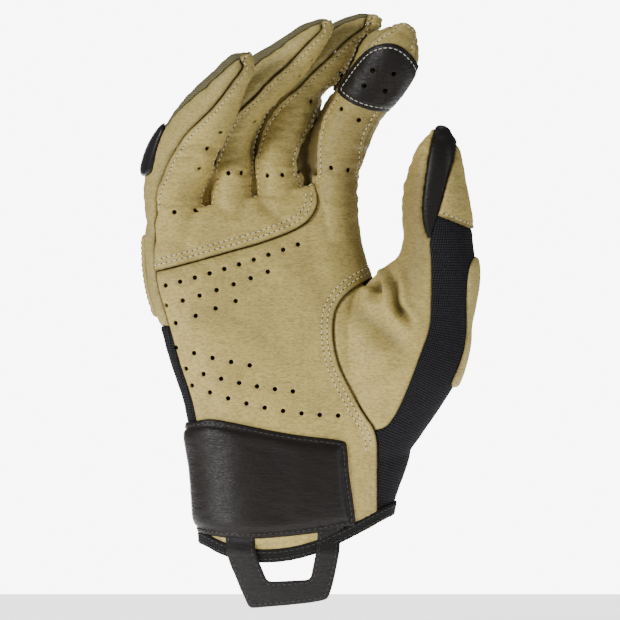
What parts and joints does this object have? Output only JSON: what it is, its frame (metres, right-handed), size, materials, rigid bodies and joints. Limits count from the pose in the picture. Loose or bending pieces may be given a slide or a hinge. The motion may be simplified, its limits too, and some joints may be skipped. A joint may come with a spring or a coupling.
{
  "type": "motorcycle glove",
  "caption": "Right-hand enduro motorcycle glove with a perforated leather palm, thumb guard, touch tip, wrist strap and cuff pull tab, shaped as worn, hollow and open at the wrist.",
  "frame": {"origin": "middle of the wrist opening, at the height of the cuff's left edge", "axes": "+Z from the wrist opening to the fingertips, the palm faces -Y, the thumb is on +X"},
  "size_m": [0.146, 0.072, 0.2542],
  "materials": {
    "upper_palm_panel": "fine-grained tan leather, matt",
    "lower_palm_panel": "fine-grained tan leather, matt",
    "back_panel": "olive woven stretch fabric",
    "back_cuff_panel": "black woven stretch fabric",
    "outer_side_panel": "fine-grained tan leather, matt",
    "pinky_ring_fourchette": "fine-grained tan leather, matt",
    "ring_middle_fourchette": "fine-grained tan leather, matt",
    "middle_index_fourchette": "fine-grained tan leather, matt",
    "index_side_panel": "fine-grained tan leather, matt",
    "thumb_panel": "fine-grained tan leather, matt",
    "thumb_strip": "black leather, satin",
    "thumb_tip_panel": "fine-grained tan leather, matt",
    "thumb_stretch_panel": "black woven stretch fabric",
    "thumb_guard": "padded tan leather, matt",
    "knuckle_guard": "padded tan leather, matt",
    "pinky_knuckle_pad": "black rubber, matt",
    "touch_tip_pad": "black conductive leather, satin",
    "wrist_strap": "padded black leather, satin",
    "pull_tab": "black coated webbing, matt",
    "cuff_binding": "black woven edge binding"
  },
  "bodies": {
    "root": {"upper_palm_panel": "upper_palm_panel", "lower_palm_panel": "lower_palm_panel", "back_panel": "back_panel", "back_cuff_panel": "back_cuff_panel", "outer_side_panel": "outer_side_panel", "pinky_ring_fourchette": "pinky_ring_fourchette", "ring_middle_fourchette": "ring_middle_fourchette", "middle_index_fourchette": "middle_index_fourchette", "index_side_panel": "index_side_panel", "thumb_panel": "thumb_panel", "thumb_strip": "thumb_strip", "thumb_tip_panel": "thumb_tip_panel", "thumb_stretch_panel": "thumb_stretch_panel", "thumb_guard": "thumb_guard", "knuckle_guard": "knuckle_guard", "pinky_knuckle_pad": "pinky_knuckle_pad", "touch_tip_pad": "touch_tip_pad", "wrist_strap": "wrist_strap", "pull_tab": "pull_tab", "cuff_binding": "cuff_binding"}
  },
  "joints": []
}
